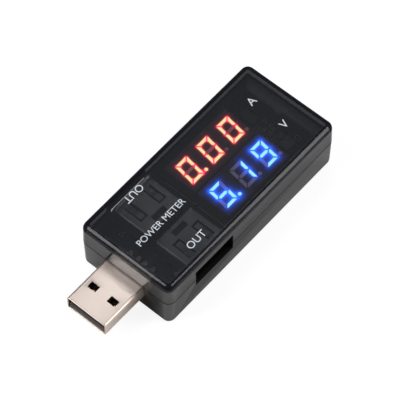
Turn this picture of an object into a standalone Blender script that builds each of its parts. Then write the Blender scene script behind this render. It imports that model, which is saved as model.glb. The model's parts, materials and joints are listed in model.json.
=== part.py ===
"""USB power meter: a two-shell case with a USB-A plug at one end, a USB-A port in each long side,
and two three-digit displays under a see-through upper shell.

Frame: +X runs from the plug to the far end, +Y is up for someone reading the digits, +Z points out
of the display face. The origin is under the middle of the whole object, on the surface it lies on.
"""

import math

import bmesh
import bpy
from mathutils import Matrix, Vector

MM = 0.001

# Whole object
CASE_LENGTH = 61.5 * MM
CASE_WIDTH = 28.2 * MM
CASE_HEIGHT = 16.1 * MM
PLUG_REACH = 13.5 * MM

# Case
WALL = 1.6 * MM
FLOOR = 1.5 * MM
CORNER_RADIUS = 2.1 * MM
CORNER_STEPS = 5
TOP_ROUND = 1.9 * MM
TOP_ROUND_STEPS = 4
BOTTOM_ROUND = 0.8 * MM
BOTTOM_ROUND_STEPS = 3
TOP_DRAFT = 0.12 * MM
BOTTOM_DRAFT = 0.2 * MM
SEAM_Z = 9.25 * MM
SEAM_GAP = 0.2 * MM
LIP_HEIGHT = 0.9 * MM
LIP_INSET = 0.9 * MM
LIP_GAP = 0.2 * MM
CAVITY_RADIUS = 0.6 * MM
CEILING_ROUND = 0.4 * MM
JOIN_DEPTH = 0.5 * MM
POST_X = (-19.6 * MM, 5.0 * MM, 33.6 * MM)
POST_Y = 9.6 * MM
POST_HALF = 1.4 * MM
HOLD_DOWN_RADIUS = 1.0 * MM
HOLD_DOWN_PINS = (
    (-17.4 * MM, -8.0 * MM),
    (-17.4 * MM, 8.0 * MM),
    (33.6 * MM, -9.6 * MM),
    (33.6 * MM, 9.6 * MM),
)

# Circuit board
BOARD_TOP = 6.45 * MM
BOARD_THICK = 1.2 * MM
BOARD_HALF_WIDTH = 11.4 * MM
BOARD_END_GAP = 0.45 * MM
SOLDER_GAP = 0.25 * MM
PIN_RADIUS = 0.25 * MM
PIN_HOLE_RADIUS = 0.45 * MM
PIN_REACH = 0.9 * MM

# USB-A connectors: sheet steel, contacts at 2.5, 2.0 and 2.5 mm from each other
SHEET = 0.3 * MM
TOUCH = 0.15 * MM
CONTACT_ROW = {"vbus": -3.5 * MM, "dminus": -1.0 * MM, "dplus": 1.0 * MM, "ground": 3.5 * MM}
CONTACT_WIDTH = 0.9 * MM
CONTACT_THICK = 0.2 * MM

# Plug
PLUG_WIDTH = 12.0 * MM
PLUG_HEIGHT = 4.5 * MM
PLUG_TOP = 9.15 * MM
PLUG_LENGTH = 18.2 * MM
PLUG_CORNER = 0.45 * MM
WINDOW_START = 5.25 * MM
WINDOW_LENGTH = 1.85 * MM
WINDOW_WIDTH = 2.5 * MM
WINDOW_OFFSET = 3.05 * MM
CORE_RECESS = 0.3 * MM
CORE_HEIGHT = 1.75 * MM
BLADE_FRONT = {"vbus": 1.3 * MM, "dminus": 2.3 * MM, "dplus": 2.3 * MM, "ground": 1.3 * MM}
BLADE_TAIL = 2.0 * MM
EAR_START = 2.6 * MM
EAR_STOP = 0.8 * MM
EAR_REACH = 1.3 * MM

# Ports, in their own frame: the mouth faces -Y and z is counted from the middle of the opening
PORT_X = -7.65 * MM
PORT_Z = 9.7 * MM
PORT_WIDTH = 13.1 * MM
PORT_HEIGHT = 5.7 * MM
PORT_MOUTH = 12.1 * MM
PORT_BACK = 1.4 * MM
PORT_CORNER = 0.6 * MM
FLARE = 0.7 * MM
CUTOUT_WIDTH = 13.4 * MM
CUTOUT_HEIGHT = 5.7 * MM
FINGER_X = 3.35 * MM
FINGER_HALF = 0.9 * MM
FINGER_SLOT = 0.35 * MM
FINGER_ROOT = -10.2 * MM
FINGER_TIP = -5.2 * MM
BACK_WINDOW_HALF = 2.2 * MM
BACK_WINDOW_FRONT = -4.0 * MM
BACK_WINDOW_BACK = -2.4 * MM
LEG_Y = 5.5 * MM
LEG_HALF = 0.6 * MM
LEG_SLOT_HALF = (0.5 * MM, 0.9 * MM)
BLOCK_FRONT = 2.6 * MM
TONGUE_HALF_WIDTH = 5.55 * MM
TONGUE_TIP = 11.2 * MM
TONGUE_LOW = 0.06 * MM
TONGUE_HIGH = 1.86 * MM
CHANNEL_WIDTH = 1.35 * MM
CHANNEL_ROOF = 1.05 * MM
CHANNEL_TIP = 10.7 * MM
LEAF_ROOT = 3.4 * MM
LEAF_LEVEL = 0.65 * MM
LEAF_PATH = (
    (0.0, 0.0),
    (-1.0 * MM, -0.08 * MM),
    (-5.3 * MM, -0.98 * MM),
    (-5.7 * MM, -1.03 * MM),
    (-6.1 * MM, -0.95 * MM),
    (-6.8 * MM, -0.5 * MM),
)
TAIL_FRONT = 3.1 * MM
TAIL_BACK = 1.05 * MM
TAIL_BEND = 0.3 * MM
TAIL_WIDTH = 0.6 * MM

# Bent metal strips are made flat in XY: this turns them so that they run in YZ
STRIP_TURN = (math.radians(90.0), 0.0, math.radians(90.0))

# Displays: three digits each, red for the current and blue for the voltage
DISPLAY_X = 13.35 * MM
DISPLAY_Y = 5.25 * MM
DISPLAY_TOP = 13.3 * MM
DISPLAY_LENGTH = 22.6 * MM
DISPLAY_WIDTH = 10.2 * MM
DISPLAY_BASE_THICK = 0.8 * MM
DISPLAY_WALL = 0.7 * MM
DISPLAY_BASE_INSET = 0.2 * MM
RESIN_THICK = 0.9 * MM
DIGIT_PITCH = 7.55 * MM
DIGIT_HEIGHT = 6.6 * MM
DIGIT_WIDTH = 4.2 * MM
DIGIT_SLANT = math.radians(8.0)
BAR_WIDTH = 1.05 * MM
BAR_GAP = 0.15 * MM
BAR_DEPTH = 1.2 * MM
WELL_GAP = 0.06 * MM
POINT_X = 2.75 * MM
POINT_Y = -2.85 * MM
POINT_RADIUS = 0.5 * MM
PIN_PITCH = 2.54 * MM
PIN_ROW = 3.81 * MM
PINS_PER_ROW = 6
POINT_SIDES = 10

# Parts soldered to the board
CHIP_LENGTH = 9.9 * MM
CHIP_WIDTH = 3.9 * MM
CHIP_THICK = 1.5 * MM
CHIP_STANDOFF = 0.35 * MM
CHIP_EDGE = 0.15 * MM
LEADS_PER_SIDE = 8
LEAD_PITCH = 1.27 * MM
LEAD_WIDTH = 0.4 * MM
LEAD_WIDENING = 0.01 * MM
LEAD_THICK = 0.16 * MM
LEAD_ROOT = 0.25 * MM
LEAD_KNEE = 2.6 * MM
LEAD_FOOT = 3.05 * MM
REGULATOR_MIDDLE = (29.2 * MM, 6.4 * MM)
REGULATOR_HALF = (1.25 * MM, 2.25 * MM)
REGULATOR_HEIGHT = 1.5 * MM
REGULATOR_LEG_PITCH = 1.5 * MM
REGULATOR_LEG_WIDTH = 0.5 * MM
REGULATOR_LEG_THICK = 0.4 * MM
REGULATOR_LEG_REACH = 0.85 * MM
REGULATOR_TAB_WIDTH = 1.8 * MM
REGULATOR_TAB_REACH = 0.65 * MM
SHUNT_HALF_LENGTH = 3.15 * MM
SHUNT_LOW_Y = -6.6 * MM
SHUNT_HIGH_Y = -3.4 * MM
SHUNT_THICK = 0.7 * MM
SMALL_PART_EDGE = 0.08 * MM
INPUT_CAPACITOR_MIDDLE = (29.35 * MM, -5.8 * MM)
INPUT_CAPACITOR_HALF = (1.75 * MM, 1.4 * MM)
INPUT_CAPACITOR_HEIGHT = 1.9 * MM
RESISTOR_HALF = (0.8 * MM, 0.4 * MM)
RESISTOR_HEIGHT = 0.45 * MM
RESISTORS = (
    (26.6 * MM, 1.4 * MM),
    (26.6 * MM, -0.6 * MM),
    (29.4 * MM, 1.4 * MM),
    (29.4 * MM, -0.6 * MM),
    (32.2 * MM, 0.4 * MM),
    (27.4 * MM, 9.9 * MM),
)
CAPACITOR_HALF = (1.0 * MM, 0.62 * MM)
CAPACITOR_HEIGHT = 0.8 * MM
CAPACITORS = (
    (27.2 * MM, -9.6 * MM),
    (30.6 * MM, -9.6 * MM),
    (30.6 * MM, -2.6 * MM),
    (27.2 * MM, -2.6 * MM),
)

PLUG_TIP_X = -(CASE_LENGTH + PLUG_REACH) / 2
CASE_LOW_X = PLUG_TIP_X + PLUG_REACH
CASE_HIGH_X = CASE_LOW_X + CASE_LENGTH
BOARD_BOTTOM = BOARD_TOP - BOARD_THICK
LOWER_TOP = SEAM_Z - SEAM_GAP / 2
UPPER_BOTTOM = SEAM_Z + SEAM_GAP / 2
CEILING = CASE_HEIGHT - WALL

# Colour, roughness, metallic
FINISHES = {
    "smoke_plastic": ((0.045, 0.046, 0.05), 0.18, 0.0),
    "nickel": ((0.72, 0.66, 0.61), 0.28, 1.0),
    "port_steel": ((0.45, 0.44, 0.43), 0.35, 1.0),
    "gold": ((0.83, 0.6, 0.26), 0.25, 1.0),
    "black_resin": ((0.03, 0.03, 0.032), 0.5, 0.0),
    "board_black": ((0.012, 0.016, 0.018), 0.4, 0.0),
    "display_face": ((0.018, 0.018, 0.02), 0.45, 0.0),
    "display_base": ((0.55, 0.5, 0.36), 0.6, 0.0),
    "red_light": ((1.0, 0.12, 0.05), 0.4, 0.0),
    "blue_light": ((0.12, 0.4, 1.0), 0.4, 0.0),
    "chip_resin": ((0.025, 0.025, 0.027), 0.6, 0.0),
    "ceramic_tan": ((0.42, 0.3, 0.18), 0.5, 0.0),
    "ceramic_black": ((0.02, 0.02, 0.022), 0.45, 0.0),
    "tantalum_black": ((0.05, 0.045, 0.04), 0.5, 0.0),
}

PARTS = "usb_power_meter"
CUTTERS = "cutters"


def clear_scene():
    """Start from an empty file with the two collections that the model uses."""
    for item in list(bpy.data.objects):
        bpy.data.objects.remove(item, do_unlink=True)
    for name in (PARTS, CUTTERS):
        bpy.context.scene.collection.children.link(bpy.data.collections.new(name))


def paint(item, finish):
    """Give a part its own Principled material."""
    colour, roughness, metallic = FINISHES[finish]
    material = bpy.data.materials.new(f"{item.name}_{finish}")
    material.use_nodes = True
    shader = material.node_tree.nodes["Principled BSDF"]
    shader.inputs["Base Color"].default_value = (*colour, 1.0)
    shader.inputs["Roughness"].default_value = roughness
    shader.inputs["Metallic"].default_value = metallic
    item.data = item.data.copy()
    item.data.materials.clear()
    item.data.materials.append(material)


def place(name, data, location=(0, 0, 0), parent=None, rotation=(0, 0, 0)):
    """Put mesh, curve or empty data into the model as a named part."""
    item = bpy.data.objects.new(name, data)
    item.location = location
    item.rotation_euler = rotation
    item.parent = parent
    bpy.data.collections[PARTS].objects.link(item)
    return item


def combine(target, tool, operation):
    """Cut a tool out of a part, or join it on, with an exact Boolean."""
    modifier = target.modifiers.new(tool.name, "BOOLEAN")
    modifier.operation = operation
    modifier.solver = "EXACT"
    modifier.object = tool
    for group in list(tool.users_collection):
        group.objects.unlink(tool)
    bpy.data.collections[CUTTERS].objects.link(tool)
    tool.hide_render = True
    tool.display_type = "WIRE"


def cut(target, tool):
    combine(target, tool, "DIFFERENCE")


def join(target, tool):
    combine(target, tool, "UNION")


def finished_mesh(item, name):
    """The mesh of an item with its modifiers and its curve made solid, in the item's own axes."""
    graph = bpy.context.evaluated_depsgraph_get()
    mesh = bpy.data.meshes.new_from_object(item.evaluated_get(graph))
    mesh.name = name
    bm = bmesh.new()
    bm.from_mesh(mesh)
    bmesh.ops.remove_doubles(bm, verts=bm.verts, dist=0.001 * MM)
    bm.to_mesh(mesh)
    bm.free()
    bpy.data.objects.remove(item, do_unlink=True)
    return mesh


def soften(item, angle=40.0):
    """Shade the round stretches of a part smooth and keep its corners sharp."""
    item.data.shade_smooth()
    item.data.set_sharp_from_angle(angle=math.radians(angle))
    return item


def block(name, low, high, edge=0.0, steps=2):
    """A block between two corners, placed about its own middle, with its edges rounded."""
    low = Vector(low)
    high = Vector(high)
    bm = bmesh.new()
    bmesh.ops.create_cube(bm, size=1.0)
    bmesh.ops.scale(bm, vec=high - low, verts=bm.verts)
    if edge:
        bmesh.ops.bevel(
            bm, geom=bm.edges[:], offset=edge, segments=steps, profile=0.5, affect="EDGES"
        )
    mesh = bpy.data.meshes.new(name)
    bm.to_mesh(mesh)
    bm.free()
    return place(name, mesh, (low + high) / 2)


def rounded_block(name, low, high, radius, foot=(0.0, 0.0, 1), head=(0.0, 0.0, 1)):
    """A block with round upright corners. foot and head are each a draft, a rounding and its steps."""
    low = Vector(low)
    high = Vector(high)
    size = high - low
    bm = bmesh.new()
    bmesh.ops.create_cube(bm, size=1.0)
    bmesh.ops.scale(bm, vec=size, verts=bm.verts)
    for vert in bm.verts:
        draft = head[0] if vert.co.z > 0 else foot[0]
        vert.co.x -= math.copysign(draft, vert.co.x)
        vert.co.y -= math.copysign(draft, vert.co.y)
    upright = [e for e in bm.edges if abs(e.verts[0].co.z - e.verts[1].co.z) > size.z / 2]
    bmesh.ops.bevel(
        bm, geom=upright, offset=radius, segments=CORNER_STEPS, profile=0.5, affect="EDGES"
    )
    for level, (_, rounding, steps) in ((-size.z / 2, foot), (size.z / 2, head)):
        if rounding:
            rim = [e for e in bm.edges if all(abs(v.co.z - level) < 0.001 * MM for v in e.verts)]
            bmesh.ops.bevel(
                bm, geom=rim, offset=rounding, segments=steps, profile=0.5, affect="EDGES"
            )
    mesh = bpy.data.meshes.new(name)
    bm.to_mesh(mesh)
    bm.free()
    return place(name, mesh, (low + high) / 2)


def case_outline(inset, low_z, high_z):
    """Opposite corners of a block that stands inside the case's widest outline by an inset."""
    half_width = CASE_WIDTH / 2 - inset
    low = (CASE_LOW_X + inset, -half_width, low_z)
    high = (CASE_HIGH_X - inset, half_width, high_z)
    return low, high


def rods(name, points, radius, low_z, high_z, sides=8):
    """Upright round rods of one size, as one mesh of separate solids."""
    bm = bmesh.new()
    for x, y in points:
        made = bmesh.ops.create_cone(
            bm,
            cap_ends=True,
            segments=sides,
            radius1=radius,
            radius2=radius,
            depth=high_z - low_z,
        )
        bmesh.ops.translate(bm, verts=made["verts"], vec=(x, y, (low_z + high_z) / 2))
    mesh = bpy.data.meshes.new(name)
    bm.to_mesh(mesh)
    bm.free()
    return place(name, mesh)


def blocks(name, boxes):
    """Separate blocks in one mesh, each given by its two opposite corners."""
    bm = bmesh.new()
    for low, high in boxes:
        made = bmesh.ops.create_cube(bm, size=1.0)
        size = Vector(high) - Vector(low)
        bmesh.ops.scale(bm, vec=size, verts=made["verts"])
        bmesh.ops.translate(bm, verts=made["verts"], vec=(Vector(low) + Vector(high)) / 2)
    mesh = bpy.data.meshes.new(name)
    bm.to_mesh(mesh)
    bm.free()
    return place(name, mesh)


def outlines(name, shapes, thickness, level):
    """Flat closed outlines in the XY plane, extruded upwards from a level."""
    curve = bpy.data.curves.new(name, "CURVE")
    curve.dimensions = "2D"
    curve.fill_mode = "BOTH"
    curve.extrude = thickness / 2
    for points in shapes:
        spline = curve.splines.new("POLY")
        spline.points.add(len(points) - 1)
        for point, (x, y) in zip(spline.points, points):
            point.co = (x, y, 0.0, 1.0)
        spline.use_cyclic_u = True
    return place(name, curve, (0, 0, level + thickness / 2))


def solid_outlines(name, shapes, thickness, level):
    """Extruded outlines as a closed mesh, ready to be cut out or joined on."""
    curve = outlines(name, shapes, thickness, level)
    centre = curve.location.copy()
    return place(name, finished_mesh(curve, name), centre)


def ribbon(name, path, width, thickness):
    """A bent metal strip: a path in (y, z), as wide along X as the strip."""
    curve = bpy.data.curves.new(name, "CURVE")
    curve.dimensions = "2D"
    curve.extrude = width / 2
    spline = curve.splines.new("POLY")
    spline.points.add(len(path) - 1)
    for point, (y, z) in zip(spline.points, path):
        point.co = (y, z, 0.0, 1.0)
    strip = place(name, curve)
    shell = strip.modifiers.new("thickness", "SOLIDIFY")
    shell.thickness = thickness
    shell.offset = 0.0
    shell.use_even_offset = True
    return finished_mesh(strip, name)


def sleeve(name, width, height, mouth, back, corner, flare=0.0):
    """A folded sheet sleeve along Y with its mouth towards -Y, which a flare can open outwards."""
    bm = bmesh.new()
    bmesh.ops.create_cube(bm, size=1.0)
    bmesh.ops.scale(bm, vec=(width, mouth - flare - back, height), verts=bm.verts)
    long_edges = [e for e in bm.edges if abs(e.verts[0].co.y - e.verts[1].co.y) > corner]
    bmesh.ops.bevel(bm, geom=long_edges, offset=corner, segments=3, profile=0.5, affect="EDGES")
    ends = [f for f in bm.faces if abs(f.normal.y) > 0.9]
    bmesh.ops.delete(bm, geom=ends, context="FACES_ONLY")
    if flare:
        front = min(v.co.y for v in bm.verts)
        rim = [e for e in bm.edges if e.is_boundary and e.verts[0].co.y < front + 0.01 * MM]
        made = bmesh.ops.extrude_edge_only(bm, edges=rim)
        for vert in [v for v in made["geom"] if isinstance(v, bmesh.types.BMVert)]:
            vert.co.x *= 1.0 + 2.0 * flare / width
            vert.co.z *= 1.0 + 2.0 * flare / height
            vert.co.y -= flare
    mesh = bpy.data.meshes.new(name)
    bm.to_mesh(mesh)
    bm.free()
    item = place(name, mesh, (0, -(mouth - flare + back) / 2, 0))
    skin = item.modifiers.new("sheet", "SOLIDIFY")
    skin.thickness = SHEET
    skin.offset = -1.0
    skin.use_even_offset = True
    return item


def build_lower_shell():
    """The tray: floor, walls, the lip that the upper shell fits over, and the board's posts."""
    low, high = case_outline(0.0, 0.0, LOWER_TOP)
    foot = (BOTTOM_DRAFT, BOTTOM_ROUND, BOTTOM_ROUND_STEPS)
    shell = rounded_block("lower_shell", low, high, CORNER_RADIUS, foot=foot)
    low, high = case_outline(LIP_INSET, FLOOR, LOWER_TOP + LIP_HEIGHT)
    join(shell, rounded_block("lip", low, high, CORNER_RADIUS - LIP_INSET))
    low, high = case_outline(WALL, FLOOR, CASE_HEIGHT)
    cut(shell, rounded_block("lower_cavity", low, high, CAVITY_RADIUS))
    posts = []
    for x in POST_X:
        for y in (-POST_Y, POST_Y):
            low = (x - POST_HALF, y - POST_HALF, FLOOR - JOIN_DEPTH)
            high = (x + POST_HALF, y + POST_HALF, BOARD_BOTTOM - SOLDER_GAP)
            posts.append((low, high))
    join(shell, blocks("board_posts", posts))
    cut_port_holes(shell)
    slot_low = (CASE_LOW_X - WALL, -PLUG_WIDTH / 2 - TOUCH, PLUG_TOP - PLUG_HEIGHT - TOUCH)
    slot_high = (CASE_LOW_X + 2 * WALL, PLUG_WIDTH / 2 + TOUCH, CASE_HEIGHT)
    cut(shell, block("plug_slot", slot_low, slot_high))
    paint(shell, "smoke_plastic")
    soften(shell)


def build_upper_shell():
    """The see-through cover: its rebate fits the lip and its pins hold the board down."""
    low, high = case_outline(0.0, UPPER_BOTTOM, CASE_HEIGHT)
    head = (TOP_DRAFT, TOP_ROUND, TOP_ROUND_STEPS)
    shell = rounded_block("upper_shell", low, high, CORNER_RADIUS, head=head)
    inset = LIP_INSET - LIP_GAP
    low, high = case_outline(inset, FLOOR, LOWER_TOP + LIP_HEIGHT + LIP_GAP)
    cut(shell, rounded_block("rebate", low, high, CORNER_RADIUS - inset))
    low, high = case_outline(WALL, FLOOR, CEILING)
    cavity = rounded_block(
        "upper_cavity", low, high, CAVITY_RADIUS, head=(0.0, CEILING_ROUND, 2)
    )
    cut(shell, cavity)
    low_z = BOARD_TOP + SOLDER_GAP
    high_z = CEILING + JOIN_DEPTH
    join(shell, rods("hold_down_pins", HOLD_DOWN_PINS, HOLD_DOWN_RADIUS, low_z, high_z, sides=12))
    cut_port_holes(shell)
    paint(shell, "smoke_plastic")
    soften(shell)


def cut_port_holes(shell):
    """The two port holes, which go straight through both side walls."""
    low = (PORT_X - CUTOUT_WIDTH / 2, -CASE_WIDTH, PORT_Z - CUTOUT_HEIGHT / 2)
    high = (PORT_X + CUTOUT_WIDTH / 2, CASE_WIDTH, PORT_Z + CUTOUT_HEIGHT / 2)
    cut(shell, block(f"port_hole_{shell.name}", low, high))


def display_pin_points(y):
    """Where a display's two rows of pins stand."""
    steps = [i - (PINS_PER_ROW - 1) / 2 for i in range(PINS_PER_ROW)]
    return [(DISPLAY_X + s * PIN_PITCH, y + row) for row in (-PIN_ROW, PIN_ROW) for s in steps]


def build_board():
    """The board: a notch for the plug, and holes for the pins, the contact tails and port legs."""
    low_x = CASE_LOW_X + WALL + BOARD_END_GAP
    high_x = CASE_HIGH_X - WALL - BOARD_END_GAP
    notch_x = PLUG_TIP_X + PLUG_LENGTH + 2 * SOLDER_GAP
    notch_y = PLUG_WIDTH / 2 + SOLDER_GAP
    half = BOARD_HALF_WIDTH
    outline = [
        (high_x, half),
        (low_x, half),
        (low_x, notch_y),
        (notch_x, notch_y),
        (notch_x, -notch_y),
        (low_x, -notch_y),
        (low_x, -half),
        (high_x, -half),
    ]
    board = solid_outlines("circuit_board", [outline], BOARD_THICK, BOARD_BOTTOM)
    holes = display_pin_points(DISPLAY_Y) + display_pin_points(-DISPLAY_Y)
    for x in CONTACT_ROW.values():
        holes += [(PORT_X + x, -TAIL_BACK), (PORT_X - x, TAIL_BACK)]
    span = (BOARD_BOTTOM - BOARD_THICK, BOARD_TOP + BOARD_THICK)
    cut(board, rods("board_holes", holes, PIN_HOLE_RADIUS + TOUCH, *span))
    slots = []
    for x, y in port_leg_points():
        low = (x - LEG_SLOT_HALF[0], y - LEG_SLOT_HALF[1], span[0])
        high = (x + LEG_SLOT_HALF[0], y + LEG_SLOT_HALF[1], span[1])
        slots.append((low, high))
    cut(board, blocks("leg_slots", slots))
    paint(board, "board_black")


def port_leg_points():
    """Where the legs of both port shells go through the board."""
    reach = PORT_WIDTH / 2 - SHEET / 2
    return [(PORT_X + side * reach, y) for side in (-1, 1) for y in (-LEG_Y, LEG_Y)]


def build_plug():
    """The plug: its sleeve with four windows, its black core and its four gold blades."""
    frame = place("plug_frame", None, (PLUG_TIP_X, 0, PLUG_TOP - PLUG_HEIGHT / 2))
    frame.rotation_euler = (0, 0, math.radians(-90.0))
    shell = sleeve("plug_sleeve", PLUG_WIDTH, PLUG_HEIGHT, 0.0, -PLUG_LENGTH, PLUG_CORNER)
    start = WINDOW_START
    stop = WINDOW_START + WINDOW_LENGTH
    windows = []
    for side in (-1, 1):
        middle = side * WINDOW_OFFSET
        low = (middle - WINDOW_WIDTH / 2, start, -PLUG_HEIGHT)
        high = (middle + WINDOW_WIDTH / 2, stop, PLUG_HEIGHT)
        windows.append((low, high))
    cut(shell, blocks("plug_windows", windows))
    ear_low = PLUG_LENGTH - EAR_START
    ear_high = PLUG_LENGTH - EAR_STOP
    ear_z = BOARD_TOP + SOLDER_GAP - frame.location.z
    ears = []
    for side in (-1, 1):
        near = side * (PLUG_WIDTH / 2 - SHEET / 2)
        far = side * (PLUG_WIDTH / 2 + EAR_REACH)
        low = (min(near, far), ear_low, ear_z)
        high = (max(near, far), ear_high, ear_z + SHEET)
        ears.append((low, high))
    join(shell, blocks("plug_ears", ears))
    offset = shell.location.copy()
    item = place("plug_shell", finished_mesh(shell, "plug_shell"), offset, frame)
    paint(item, "nickel")
    soften(item)

    half = PLUG_WIDTH / 2 - SHEET - TOUCH
    core_low = -PLUG_HEIGHT / 2 + SHEET + TOUCH
    core_high = core_low + CORE_HEIGHT
    core_back = PLUG_LENGTH + SOLDER_GAP
    core = block("plug_core", (-half, CORE_RECESS, core_low), (half, core_back, core_high), 0.2 * MM)
    grooves = []
    for x in CONTACT_ROW.values():
        wide = CONTACT_WIDTH / 2 + TOUCH
        low = (x - wide, BLADE_FRONT["vbus"] - TOUCH, core_high - CONTACT_THICK - TOUCH)
        high = (x + wide, core_back + WALL, core_high + WALL)
        grooves.append((low, high))
    cut(core, blocks("core_grooves", grooves))
    offset = core.location.copy()
    item = place("plug_insulator", finished_mesh(core, "plug_insulator"), offset, frame)
    paint(item, "black_resin")

    tail = PLUG_LENGTH + BLADE_TAIL
    for name, x in CONTACT_ROW.items():
        low = (-x - CONTACT_WIDTH / 2, BLADE_FRONT[name], core_high - CONTACT_THICK)
        high = (-x + CONTACT_WIDTH / 2, tail, core_high)
        blade = block(f"plug_contact_{name}", low, high, 0.06 * MM, 1)
        blade.parent = frame
        paint(blade, "gold")


def build_port_shell_mesh():
    """The port's sleeve: flared mouth, four spring fingers, a window at the back and two legs."""
    shell = sleeve("port_sleeve", PORT_WIDTH, PORT_HEIGHT, PORT_MOUTH, PORT_BACK, PORT_CORNER, FLARE)
    slots = []
    tall = PORT_HEIGHT
    outer = FINGER_HALF + FINGER_SLOT
    reach = FINGER_HALF + TOUCH
    tip_slot = FINGER_TIP - FINGER_SLOT
    for middle in (-FINGER_X, FINGER_X):
        slots.append(((middle - outer, FINGER_ROOT, -tall), (middle - FINGER_HALF, FINGER_TIP, tall)))
        slots.append(((middle + FINGER_HALF, FINGER_ROOT, -tall), (middle + outer, FINGER_TIP, tall)))
        slots.append(((middle - reach, tip_slot, -tall), (middle + reach, FINGER_TIP, tall)))
    low = (-BACK_WINDOW_HALF, BACK_WINDOW_FRONT, 0.0)
    slots.append((low, (BACK_WINDOW_HALF, BACK_WINDOW_BACK, tall)))
    for number, (low, high) in enumerate(slots):
        cut(shell, block(f"port_slot_{number}", low, high))
    legs = []
    for side in (-1, 1):
        near = side * PORT_WIDTH / 2
        far = side * (PORT_WIDTH / 2 - SHEET)
        low = (min(near, far), -LEG_Y - LEG_HALF, BOARD_BOTTOM - PIN_REACH - PORT_Z)
        high = (max(near, far), -LEG_Y + LEG_HALF, 0.0)
        legs.append((low, high))
    join(shell, blocks("port_legs", legs))
    offset = shell.location.copy()
    mesh = finished_mesh(shell, "port_shell")
    mesh.transform(Matrix.Translation(offset))
    return mesh


def build_port_insulator_mesh():
    """The port's black tongue and back block in one moulding, with a channel for each contact."""
    half = PORT_WIDTH / 2 - SHEET - TOUCH
    tall = PORT_HEIGHT / 2 - SHEET - TOUCH
    back = -PORT_BACK - TOUCH
    moulding = block("port_block", (-half, -BLOCK_FRONT, -tall), (half, back, tall))
    low = (-TONGUE_HALF_WIDTH, -TONGUE_TIP, TONGUE_LOW)
    high = (TONGUE_HALF_WIDTH, JOIN_DEPTH - BLOCK_FRONT, TONGUE_HIGH)
    join(moulding, block("port_tongue", low, high, 0.15 * MM, 1))
    channels = []
    for x in CONTACT_ROW.values():
        low = (x - CHANNEL_WIDTH / 2, -CHANNEL_TIP, TONGUE_LOW - TOUCH)
        high = (x + CHANNEL_WIDTH / 2, 0.0, CHANNEL_ROOF)
        channels.append((low, high))
    cut(moulding, blocks("contact_channels", channels))
    offset = moulding.location.copy()
    mesh = finished_mesh(moulding, "port_insulator")
    mesh.transform(Matrix.Translation(offset))
    return mesh


def build_ports():
    """Both ports, the same part turned round: shell, moulding, four sprung leaves, four tails."""
    shell_mesh = build_port_shell_mesh()
    insulator_mesh = build_port_insulator_mesh()
    leaf_mesh = ribbon("port_leaf", LEAF_PATH, CONTACT_WIDTH, CONTACT_THICK)
    foot = BOARD_BOTTOM - PIN_REACH - PORT_Z - LEAF_LEVEL
    run = TAIL_FRONT - TAIL_BACK
    tail_path = [(0.0, 0.0), (run - TAIL_BEND, 0.0), (run, -TAIL_BEND), (run, foot)]
    tail_mesh = ribbon("port_tail", tail_path, TAIL_WIDTH, CONTACT_THICK)
    for port, turn in (("right_port", 0.0), ("left_port", math.pi)):
        frame = place(f"{port}_frame", None, (PORT_X, 0, PORT_Z), rotation=(0, 0, turn))
        shell = place(f"{port}_shell", shell_mesh, parent=frame)
        paint(shell, "port_steel")
        soften(shell)
        insulator = place(f"{port}_insulator", insulator_mesh, parent=frame)
        paint(insulator, "black_resin")
        for name, x in CONTACT_ROW.items():
            root = (x, -LEAF_ROOT, LEAF_LEVEL)
            leaf = place(f"{port}_leaf_{name}", leaf_mesh, root, frame, STRIP_TURN)
            paint(leaf, "gold")
            root = (x, -TAIL_FRONT, LEAF_LEVEL)
            tail = place(f"{port}_tail_{name}", tail_mesh, root, frame, STRIP_TURN)
            paint(tail, "gold")


def bar(start, end, width, gap):
    """The outline of one light segment: a bar between two corners, pointed at both ends."""
    start = Vector(start)
    end = Vector(end)
    along = (end - start).normalized()
    across = Vector((-along.y, along.x)) * width / 2
    start = start + along * gap
    end = end - along * gap
    shoulder = along * width / 2
    return [
        start,
        start + shoulder - across,
        end - shoulder - across,
        end,
        end - shoulder + across,
        start + shoulder + across,
    ]


def digit_outlines(grow):
    """The seven bars and the point of one digit about its middle, made larger all round by grow."""
    right = DIGIT_WIDTH / 2 - BAR_WIDTH / 2
    top = DIGIT_HEIGHT / 2 - BAR_WIDTH / 2
    corners = [(-right, top), (right, top), (-right, 0), (right, 0), (-right, -top), (right, -top)]
    pairs = [(0, 1), (2, 3), (4, 5), (0, 2), (1, 3), (2, 4), (3, 5)]
    width = BAR_WIDTH + 2 * grow
    gap = BAR_GAP - grow
    shapes = []
    for first, last in pairs:
        outline = bar(corners[first], corners[last], width, gap)
        shapes.append([(x + y * math.tan(DIGIT_SLANT), y) for x, y in outline])
    radius = POINT_RADIUS + grow
    angles = [2 * math.pi * i / POINT_SIDES for i in range(POINT_SIDES)]
    shapes.append([(POINT_X + radius * math.cos(a), POINT_Y + radius * math.sin(a)) for a in angles])
    return shapes


def display_outlines(y, grow):
    """The outlines of a whole display's lights, in the object's frame."""
    shapes = []
    for step in (-1, 0, 1):
        x = DISPLAY_X + step * DIGIT_PITCH
        shapes += [[(px + x, py + y) for px, py in shape] for shape in digit_outlines(grow)]
    return shapes


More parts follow.
